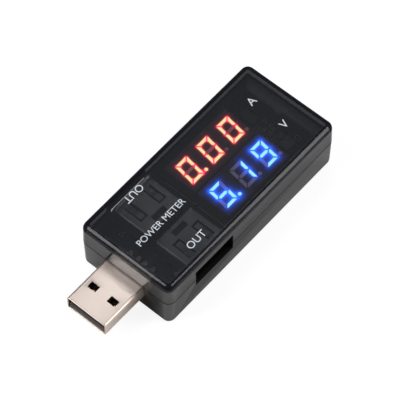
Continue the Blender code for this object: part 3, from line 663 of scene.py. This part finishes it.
def build_ledge():
    """The stepped ledge inside the far end that the lid shows faintly."""
    front = LEDGE_BACK - LEDGE_LENGTH
    outline = [
        (LEDGE_BACK, -LEDGE_HALF),
        (LEDGE_BACK, LEDGE_HALF),
        (front + 4 * LEDGE_STEP, LEDGE_HALF),
        (front, LEDGE_HALF - 4 * LEDGE_STEP),
        (front, NOTCH_OUTER),
        (front - LEDGE_STEP, NOTCH_LEFT),
        (front - LEDGE_STEP, -NOTCH_RIGHT),
        (front + LEDGE_STEP, -NOTCH_OUTER),
        (front + LEDGE_STEP, -LEDGE_HALF),
    ]
    bm = bmesh.new()
    loft(bm, [[(x, y, z) for x, y in outline] for z in (LEDGE_TOP - LEDGE_HEIGHT, LEDGE_TOP)])
    # Its light grey finish is painted light for the light the far walls let in.
    ledge = finished("end_ledge", bm, LEDGE_PAINTED_LIGHT)
    break_edges(ledge, LEDGE_ROUND)
    apply_modifiers(ledge)


# ---------------------------------------------------------------- plug


def build_plug():
    """The plug's nickel sleeve: rolled front lip, two windows above and below, dimples in its sides."""
    middle = (PLUG_TOP + PLUG_LOW_Z) / 2
    tall = (PLUG_TOP - PLUG_LOW_Z) / 2
    roll = SHEET / 2

    def section(inset, x):
        half_y = PLUG_HALF - inset
        half_z = tall - inset
        ring = rounded_ring((0.0, middle), half_y, half_z, PLUG_CORNER - inset, PLUG_CORNER_STEPS)
        return [(x, y, z) for y, z in ring]

    stations = [PLUG_TIP + s * MM for s in PLUG_STATIONS] + [PLUG_BACK]
    rings = [section(0.0, x) for x in reversed(stations)]
    for step in range(ROLL_STEPS + 1):
        turn = math.pi * step / ROLL_STEPS
        rings.append(section(roll * (1 - math.cos(turn)), PLUG_TIP + roll * (1 - math.sin(turn))))
    rings += [section(SHEET, x) for x in stations]
    bm = bmesh.new()
    loft(bm, rings, closed=True)
    plug = finished("plug_sleeve", bm, NICKEL, ["plug_shell"])
    cutter = bmesh.new()
    for side in (-1, 1):
        y = side * WINDOW_Y
        low = (WINDOW_FRONT, y - WINDOW_HALF, -PLUG_TOP)
        high = (WINDOW_BACK, y + WINDOW_HALF, 2 * PLUG_TOP)
        add_box(cutter, low, high)
        add_ball(cutter, (DIMPLE_X, side * (PLUG_HALF + DIMPLE_OUT), middle), DIMPLE_RADIUS)
    fold_low = (PLUG_TIP - MM, -FOLD_HALF, 0.0)
    add_box(cutter, fold_low, (CASE_LOW.x, FOLD_HALF, PLUG_LOW_Z + FOLD_DEPTH))
    add_ball(cutter, PIT_PLACE, PIT_RADIUS)
    carve(plug, cutter, PLUG_BEVEL)
    add_finishes(plug, NICKEL_PAINTED_LIGHT)
    # Painted light: the sleeve's top faces inside the case get the lighter copy of the nickel.
    for face in plug.data.polygons:
        if face.center.x > CASE_LOW.x and face.normal.z > MOSTLY:
            paint(plug, face, NICKEL_PAINTED_LIGHT)


def build_plug_solder():
    """Solder over the tails of the plug's four blades."""
    length, width, height = SOLDER_SIZE
    for name in ("vbus", "dminus", "dplus", "ground"):
        low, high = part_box(f"plug_contact_{name}")
        bm = bmesh.new()
        centre = Vector((high.x - SOLDER_BACK, (low.y + high.y) / 2, high.z - SOLDER_SINK))
        add_ball(bm, centre, 1.0, SOLDER_STEPS)
        for vert in bm.verts:
            offset = vert.co - centre
            z = max(offset.z, 0.0)
            vert.co = centre + Vector((offset.x * length, offset.y * width, z * height)) * MM
        finished(f"plug_solder_{name}", bm, TIN)


# ---------------------------------------------------------------- ports


def port_section(out, round_out, y):
    """One section of a port's sleeve, which runs along Y, with its walls and its rounds moved out."""
    half_x = PORT_HALF_WIDTH + out
    half_z = PORT_HALF_HEIGHT + out
    radius = PORT_CORNER + round_out
    ring = rounded_ring((0.0, 0.0), half_x, half_z, radius, PORT_CORNER_STEPS)
    return [(x, y, z) for x, z in ring]


def port_cutter():
    """The slots that free the sleeve's four sprung fingers, and the window behind, in one mesh."""
    tall = 2 * PORT_HALF_HEIGHT
    cutter = bmesh.new()
    for middle in (-FINGER_X, FINGER_X):
        for side in (-1, 1):
            near = middle + side * FINGER_HALF
            far = middle + side * (FINGER_HALF + FINGER_SLOT)
            low = (min(near, far), -FINGER_FRONT, -tall)
            add_box(cutter, low, (max(near, far), -FINGER_END, tall))
        low = (middle - FINGER_HALF - FINGER_SLOT, -FINGER_END - HAIR, -tall)
        high = (middle + FINGER_HALF + FINGER_SLOT, -FINGER_END + FINGER_SLOT, tall)
        add_box(cutter, low, high)
    window_low = (-BACK_WINDOW_HALF, -BACK_WINDOW_FRONT, 0.0)
    add_box(cutter, window_low, (BACK_WINDOW_HALF, -BACK_WINDOW_END, tall))
    return cutter


def build_port_shell(port, turn):
    """A port's folded steel sleeve: flared mouth, sprung fingers above and below, a window behind."""
    straight_end = PORT_MOUTH - FLARE
    length = straight_end - PORT_BACK
    stations = [PORT_BACK + length * i / PORT_STATIONS for i in range(PORT_STATIONS + 1)]
    rings = [port_section(0.0, 0.0, -y) for y in stations]
    flare = [(s * FLARE, FLARE * (1 - math.cos(s * math.pi / 2))) for s in FLARE_STATIONS]
    for forward, out in flare:
        rings.append(port_section(out, out, -straight_end - forward))
    forward, out = flare[-1]
    rings.append(port_section(out - SHEET, out, -straight_end - forward))
    for forward, out in reversed(flare[:-1]):
        rings.append(port_section(out - SHEET, out - SHEET, -straight_end - forward))
    rings += [port_section(-SHEET, -SHEET, -y) for y in reversed(stations)]
    bm = bmesh.new()
    loft(bm, rings, closed=True)
    shell = finished(f"{port}_sleeve", bm, STEEL, [f"{port}_shell"])
    add_finishes(shell, SHADE)
    carve(shell, port_cutter())
    for vert in shell.data.vertices:
        on_finger = abs(abs(vert.co.x) - FINGER_X) < FINGER_HALF + FINGER_MARGIN
        along = -vert.co.y
        if on_finger and FINGER_END - FINGER_MARGIN < along < FINGER_FRONT:
            share = (FINGER_FRONT - along) / (FINGER_FRONT - FINGER_END)
            wave = math.sin(math.pi * min(share * FINGER_CREST, 1.0))
            bend = FINGER_BEND * wave + FINGER_DROP * share
            vert.co.z -= math.copysign(bend, vert.co.z)
    # Painted shade: the sleeve's inner faces, the front faces of its mouth and its whole lower half get
    # the near-black finish.
    for face in shell.data.polygons:
        outward = face.center.x / PORT_HALF_WIDTH * face.normal.x
        outward += face.center.z / PORT_HALF_HEIGHT * face.normal.z
        if outward < 0 or face.normal.y < -MOSTLY or face.center.z < 0:
            paint(shell, face, SHADE)
    shell.data.transform(Matrix.Translation((PORT_X, 0, PORT_Z)) @ Matrix.Rotation(turn, 4, "Z"))


# ---------------------------------------------------------------- displays


def bar_shapes():
    """The seven bars of a digit about its middle. The six outer ones have their corners cut off."""
    half_x = DIGIT_WIDTH / 2
    half_y = DIGIT_HEIGHT / 2
    gap = MITRE
    bar = BAR
    cut = CORNER_CUT
    outer = (-half_x + cut + gap, half_y)
    tip = (-half_x + cut / 2 + gap, half_y - cut / 2)
    inner = (-half_x + bar + gap, half_y - bar)
    top = [outer, tip, inner] + [(-x, y) for x, y in (inner, tip, outer)]
    upper_left = [
        (-half_x, half_y - cut - gap),
        (-half_x, cut / 2 + gap),
        (-half_x + cut / 2, gap),
        (-half_x + bar / 2, gap),
        (-half_x + bar, bar / 2 + gap),
        (-half_x + bar, half_y - bar - gap),
        (-half_x + cut / 2, half_y - cut / 2 - gap),
    ]
    middle = [
        (-half_x + bar / 2 + gap, 0.0),
        (-half_x + bar + gap, -bar / 2),
        (half_x - bar - gap, -bar / 2),
    ]
    middle += [(-x, -y) for x, y in middle]
    upper_right = [(-x, y) for x, y in reversed(upper_left)]
    return {
        "a": top,
        "b": upper_right,
        "c": [(x, -y) for x, y in reversed(upper_right)],
        "d": [(x, -y) for x, y in reversed(top)],
        "e": [(x, -y) for x, y in reversed(upper_left)],
        "f": upper_left,
        "g": middle,
    }


LIT_BARS = {"0": "abcdef", "1": "bc", "5": "acdfg", "9": "abcdfg"}


def display_shapes(reading, centre):
    """Outlines of a display's lit and unlit lights. reading has one point, after its first digit."""
    lit = []
    unlit = []
    for place, digit in zip((-1, 0, 1), reading.replace(".", "")):
        middle = Vector((centre.x + place * DIGIT_PITCH, centre.y))
        for name, outline in bar_shapes().items():
            points = [middle + Vector((x + y * SLANT, y)) for x, y in outline]
            (lit if name in LIT_BARS[digit] else unlit).append(points)
        turns = [2 * math.pi * i / POINT_STEPS for i in range(POINT_STEPS)]
        ring = [middle + POINT + POINT_RADIUS * Vector((math.cos(t), math.sin(t))) for t in turns]
        (lit if place == -1 else unlit).append(ring)
    return [counter_clockwise(s) for s in lit], [counter_clockwise(s) for s in unlit]


def distance_to_outline(point, outline):
    """How far a point is from an outline, or zero inside it."""
    inside = True
    nearest = math.inf
    for start, end in zip(outline, outline[1:] + outline[:1]):
        along = end - start
        offset = point - start
        share = min(1.0, max(0.0, offset.dot(along) / along.length_squared))
        nearest = min(nearest, (offset - along * share).length)
        if along.x * offset.y - along.y * offset.x < 0:
            inside = False
    return 0.0 if inside else nearest


def counter_clockwise(outline):
    """An outline turned to run counter-clockwise, as distance_to_outline needs."""
    area = sum(a.x * b.y - b.x * a.y for a, b in zip(outline, outline[1:] + outline[:1]))
    return outline if area > 0 else list(reversed(outline))


def build_display_body(colour, low, high, body_top):
    """A display's black body, with its foot and its top edge drawn in."""
    centre = (low + high) / 2
    half = (high - low) / 2
    insets = (BODY_FOOT, 0.0, 0.0, FACE_MARGIN)
    levels = (low.z, low.z + BODY_FOOT, body_top - FACE_MARGIN, body_top)
    rings = []
    for inset, z in zip(insets, levels):
        ring = rounded_ring(centre, half.x - inset, half.y - inset, BODY_CORNER, BODY_CORNER_STEPS)
        rings.append([(x, y, z) for x, y in ring])
    bm = bmesh.new()
    loft(bm, rings)
    finished(
        f"{colour}_display_body", bm, HOUSING, [f"{colour}_display_housing"]
    )


def add_light(bm, outline, levels):
    """One light as a block with its top drawn in, added to a mesh under construction.

    Each level is a height and whether it is drawn in. The corners come back, each with whether it is.
    """
    middle = sum(outline, Vector((0.0, 0.0))) / len(outline)
    along = (max(outline, key=lambda p: (p - middle).length) - middle).normalized()
    corners = []
    for z, drawn_in in levels:
        for point in outline:
            offset = point - middle
            if drawn_in:
                run = along * offset.dot(along)
                offset = run * CORE_LENGTH + (offset - run) * CORE_WIDTH
            corners.append((bm.verts.new((*(middle + offset), z)), drawn_in))
    count = len(outline)
    verts = [vert for vert, drawn_in in corners]
    rows = [verts[start:start + count] for start in range(0, len(verts), count)]
    for below, above in zip(rows, rows[1:]):
        for i in range(count):
            j = (i + 1) % count
            bm.faces.new((below[i], below[j], above[j], above[i]))
    bm.faces.new(list(reversed(rows[0])))
    bm.faces.new(rows[-1])
    return corners


def build_display(colour, reading, materials, reach):
    """One display: body, glowing face, lit lights, unlit lights. reach is how far the light bleeds."""
    low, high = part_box(f"{colour}_display_housing")
    centre = (low + high) / 2
    half = (high - low) / 2
    face_z = high.z - FACE_DROP
    body_top = face_z - FACE_THICKNESS
    build_display_body(colour, low, high, body_top)
    lit, unlit = display_shapes(reading, centre)

    # Painted glow: how much light from the lit lights is painted onto a point of the face or of an
    # unlit light.
    def leaked(here):
        total = 0.0
        for outline in lit:
            if (outline[0] - here).length < REACHES_OUT * reach + DIGIT_WIDTH:
                total += math.exp(-distance_to_outline(here, outline) / reach)
        return min(total, MOST_GLOW)

    bm = bmesh.new()
    glow = bm.verts.layers.float.new("glow")
    half_x = half.x - FACE_MARGIN
    half_y = half.y - FACE_MARGIN
    across = round(2 * half_x / GLOW_STEP)
    down = round(2 * half_y / GLOW_STEP)
    made = bmesh.ops.create_grid(bm, x_segments=across, y_segments=down, size=1.0)
    bmesh.ops.scale(bm, vec=(half_x, half_y, 1.0), verts=made["verts"])
    bmesh.ops.translate(bm, vec=(centre.x, centre.y, face_z), verts=made["verts"])
    for vert in bm.verts:
        vert[glow] = leaked(vert.co.xy)
    rim = [e for e in bm.edges if e.is_boundary]
    skirt = bmesh.ops.extrude_edge_only(bm, edges=rim)
    for vert in [v for v in skirt["geom"] if isinstance(v, bmesh.types.BMVert)]:
        vert.co.z = body_top + HAIR
        vert[glow] = 0.0
    bmesh.ops.contextual_create(bm, geom=[e for e in bm.edges if e.is_boundary])
    finished(f"{colour}_display_face", bm, materials["face"])

    levels = ((face_z - LIGHT_SINK, False), (high.z - HAIR, False), (high.z, True))
    for kind, shapes in (("lit", lit), ("unlit", unlit)):
        bm = bmesh.new()
        glow = bm.verts.layers.float.new("glow")
        for outline in shapes:
            for vert, drawn_in in add_light(bm, outline, levels):
                vert[glow] = float(drawn_in) if kind == "lit" else leaked(vert.co.xy)
        replaced = [f"{colour}_display_lights"] if kind == "lit" else []
        finished(f"{colour}_display_{kind}_bars", bm, materials[kind], replaced)


def build_displays():
    """Red for the current and blue for the voltage."""
    # The faces and the unlit lights glow though they are no lamps: painted light, a halo bled from the
    # lit lights, and on the unlit lights a faint even glow as well.
    red_leak = [((0.50, 0.006, 0.03), 5.0, SHINE), ((0.05, 0.006, 0.014), 0.7, SHINE)]
    blue_leak = [((0.006, 0.075, 0.72), 1.8, SHINE), ((0.008, 0.01, 0.08), 0.7, SHINE)]
    red_faint = [*red_leak, ((0.03, 0.012, 0.016), 0.0, SHINE)]
    blue_faint = [*blue_leak, ((0.035, 0.03, 0.055), 0.0, SHINE)]
    red = {
        "face": glowing("red_face", (0.014, 0.011, 0.012), red_leak),
        "unlit": glowing("red_unlit", (0.30, 0.20, 0.22), red_faint),
        "lit": glowing(
            "red_lit",
            (0.5, 0.1, 0.05),
            [((0.40, 0.76, 0.33), 1.0, SHINE), ((0.52, 0.03, 0.06), 0.0, SHINE)],
        ),
    }
    blue = {
        "face": glowing("blue_face", (0.012, 0.012, 0.018), blue_leak),
        "unlit": glowing("blue_unlit", (0.24, 0.21, 0.32), blue_faint),
        "lit": glowing(
            "blue_lit",
            (0.2, 0.4, 0.6),
            [((0.32, 0.68, 0.12), 1.0, SHINE), ((0.02, 0.17, 0.80), 0.0, SHINE)],
        ),
    }
    build_display("red", "0.00", red, RED_REACH)
    build_display("blue", "5.19", blue, BLUE_REACH)


# ---------------------------------------------------------------- labels


def label(name, words, height, centre, turn=0.0, level=CASE_TOP, ink=INK):
    """Printed words, as a thin layer of ink on a level, whose capitals have the given height."""
    curve = bpy.data.curves.new(name, "FONT")
    curve.body = words
    curve.align_x = "CENTER"
    curve.align_y = "CENTER"
    curve.size = height / CAPITAL_SHARE
    curve.extrude = INK_HALF
    item = bpy.data.objects.new(name, curve)
    bpy.context.scene.collection.objects.link(item)
    graph = bpy.context.evaluated_depsgraph_get()
    mesh = bpy.data.meshes.new_from_object(item.evaluated_get(graph))
    bpy.data.objects.remove(item)
    xs = [v.co.x for v in mesh.vertices]
    ys = [v.co.y for v in mesh.vertices]
    shift = Vector((-(min(xs) + max(xs)) / 2, -(min(ys) + max(ys)) / 2, 0.0))
    mesh.transform(Matrix.Translation(shift))
    mesh.transform(Matrix.Rotation(turn, 4, "Z"))
    mesh.transform(Matrix.Translation((*centre, level + INK_LIFT)))
    bm = bmesh.new()
    bm.from_mesh(mesh)
    bmesh.ops.remove_doubles(bm, verts=bm.verts, dist=INK_MERGE)
    finished(name, bm, ink)


def build_labels():
    """The words on the lid, by the ports and the displays."""
    label("label_out_right", "OUT", height=1.95 * MM, centre=(-8.95 * MM, -9.45 * MM))
    label("label_out_left", "OUT", height=1.95 * MM, centre=(-9.1 * MM, 9.9 * MM), turn=UPSIDE_DOWN)
    label("label_middle", "POWER METER", height=1.7 * MM, centre=(-10.76 * MM, -0.1 * MM))
    label("label_amps", "A", height=2.2 * MM, centre=(29.05 * MM, 5.6 * MM))
    label("label_volts", "V", height=2.2 * MM, centre=(29.1 * MM, -4.6 * MM))


def build_board_print():
    """White marks on the board: names of parts, and lines round the chips."""
    board_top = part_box("circuit_board")[1].z + MARK_LIFT
    # The words, height, centre and turn of each mark.
    marks = (
        ("R1 R2", 1.1 * MM, (31.6 * MM, 2.0 * MM), DOWNWARDS),
        ("C1", 1.1 * MM, (33.2 * MM, -5.9 * MM), DOWNWARDS),
        ("C2 R3", 1.1 * MM, (31.4 * MM, -3.6 * MM), DOWNWARDS),
        ("U2", 1.0 * MM, (32.6 * MM, 8.4 * MM), DOWNWARDS),
        ("5V", 1.2 * MM, (-14.9 * MM, 8.6 * MM), 0.0),
        ("IN", 1.2 * MM, (-14.6 * MM, -8.4 * MM), 0.0),
    )
    for number, (words, height, centre, turn) in enumerate(marks, 1):
        name = f"board_mark_{number}"
        label(name, words, height, centre, turn, board_top, PRINT)
    line_top = board_top + MARK_LINE / 4
    bm = bmesh.new()
    for name in frame["nodes"]:
        if not name.startswith(("chip_", "voltage_regulator", "input_capacitor")):
            continue
        low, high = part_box(name)
        for x in (low.x - MARK_GAP - MARK_LINE, high.x + MARK_GAP):
            line_low = (x, low.y - MARK_GAP, board_top)
            add_box(bm, line_low, (x + MARK_LINE, high.y + MARK_GAP, line_top))
        for y in (low.y - MARK_GAP - MARK_LINE, high.y + MARK_GAP):
            line_low = (low.x - MARK_GAP, y, board_top)
            add_box(bm, line_low, (high.x + MARK_GAP, y + MARK_LINE, line_top))
    finished("board_lines", bm, PRINT)


# ---------------------------------------------------------------- carried-over parts


def paint_nodes():
    """Give every CAD node that still shows its own finish."""
    finishes = {
        "board_black": MASK,
        "plug_nickel": NICKEL,
        "port_steel": STEEL,
        "contact_gold": GOLD,
        "black_resin": RESIN,
        "display_base": BASE,
        "chip_resin": CHIP,
        "resistor_black": FILM,
        "ceramic_tan": TAN,
        "tantalum_black": TANTALUM,
    }
    slots = {p["node"]: p["material_slot"] for p in frame["record"]["subparts"]}
    for name, node in frame["nodes"].items():
        if node.hide_render:
            continue
        node.data.materials.clear()
        node.data.materials.append(finishes[slots[name]])


# ---------------------------------------------------------------- stage


def area_light(name, place, size, power, colour=(1.0, 1.0, 1.0)):
    """A softbox that faces the middle of the model's underside."""
    data = bpy.data.lights.new(name, "AREA")
    data.shape = "RECTANGLE"
    data.size = size[0]
    data.size_y = size[1]
    data.energy = power
    data.color = colour
    lamp = bpy.data.objects.new(name, data)
    bpy.context.scene.collection.objects.link(lamp)
    lamp.location = place
    lamp.rotation_euler = (-Vector(place)).to_track_quat("-Z", "Y").to_euler()


def white_paper():
    """Paper that the camera sees as bright white, and that lights and mirrors see as pale grey."""
    material = bpy.data.materials.new("paper")
    material.use_nodes = True
    tree = material.node_tree
    tree.nodes.clear()
    output = tree.nodes.new("ShaderNodeOutputMaterial")
    choice = tree.nodes.new("ShaderNodeMixShader")
    path = tree.nodes.new("ShaderNodeLightPath")
    grey = tree.nodes.new("ShaderNodeBsdfDiffuse")
    grey.inputs["Color"].default_value = (PAPER_GREY, PAPER_GREY, PAPER_GREY, 1.0)
    bright = tree.nodes.new("ShaderNodeAddShader")
    soft = tree.nodes.new("ShaderNodeBsdfDiffuse")
    soft.inputs["Color"].default_value = (PAPER_SHADED, PAPER_SHADED, PAPER_SHADED, 1.0)
    shine = tree.nodes.new("ShaderNodeEmission")
    shine.inputs["Strength"].default_value = PAPER_BRIGHT
    tree.links.new(soft.outputs[0], bright.inputs[0])
    tree.links.new(shine.outputs[0], bright.inputs[1])
    tree.links.new(path.outputs["Is Camera Ray"], choice.inputs[0])
    tree.links.new(grey.outputs[0], choice.inputs[1])
    tree.links.new(bright.outputs[0], choice.inputs[2])
    tree.links.new(choice.outputs[0], output.inputs["Surface"])
    return material


def build_stage():
    """Pale floor, three softboxes, soft surroundings and the camera."""
    bm = bmesh.new()
    bmesh.ops.create_grid(bm, x_segments=1, y_segments=1, size=FLOOR_HALF)
    mesh = bpy.data.meshes.new("floor")
    bm.to_mesh(mesh)
    bm.free()
    floor = bpy.data.objects.new("floor", mesh)
    bpy.context.scene.collection.objects.link(floor)
    floor.location.z = -FLOOR_DROP
    mesh.materials.append(white_paper())

    world = bpy.data.worlds.new("surroundings")
    bpy.context.scene.world = world
    world.use_nodes = True
    background = world.node_tree.nodes["Background"]
    background.inputs["Color"].default_value = (1.0, 1.0, 1.0, 1.0)
    background.inputs["Strength"].default_value = SKY_STRENGTH

    area_light("left", place=(-0.44, 0.32, 0.52), size=(0.28, 0.6), power=3.5)
    area_light("right", place=(0.35, -0.50, 0.36), size=(0.28, 0.65), power=3.3)
    area_light(
        "top", place=(0.35, 0.30, 0.77), size=(0.28, 0.28), power=1.05, colour=(0.9, 0.94, 1.0)
    )

    data = bpy.data.cameras.new("camera")
    data.lens = CAMERA_LENS
    data.clip_start = CAMERA_NEAR
    camera = bpy.data.objects.new("camera", data)
    bpy.context.scene.collection.objects.link(camera)
    camera.location = CAMERA_PLACE
    camera.rotation_euler = CAMERA_LOOK.to_track_quat("-Z", "Y").to_euler()
    bpy.context.scene.camera = camera
    bpy.context.scene.view_settings.view_transform = "Standard"


build_cover()
build_tray()
build_ledge()
build_plug()
build_plug_solder()
build_port_shell("right_port", 0.0)
build_port_shell("left_port", math.pi)
build_displays()
build_labels()
build_board_print()
paint_nodes()
build_stage()
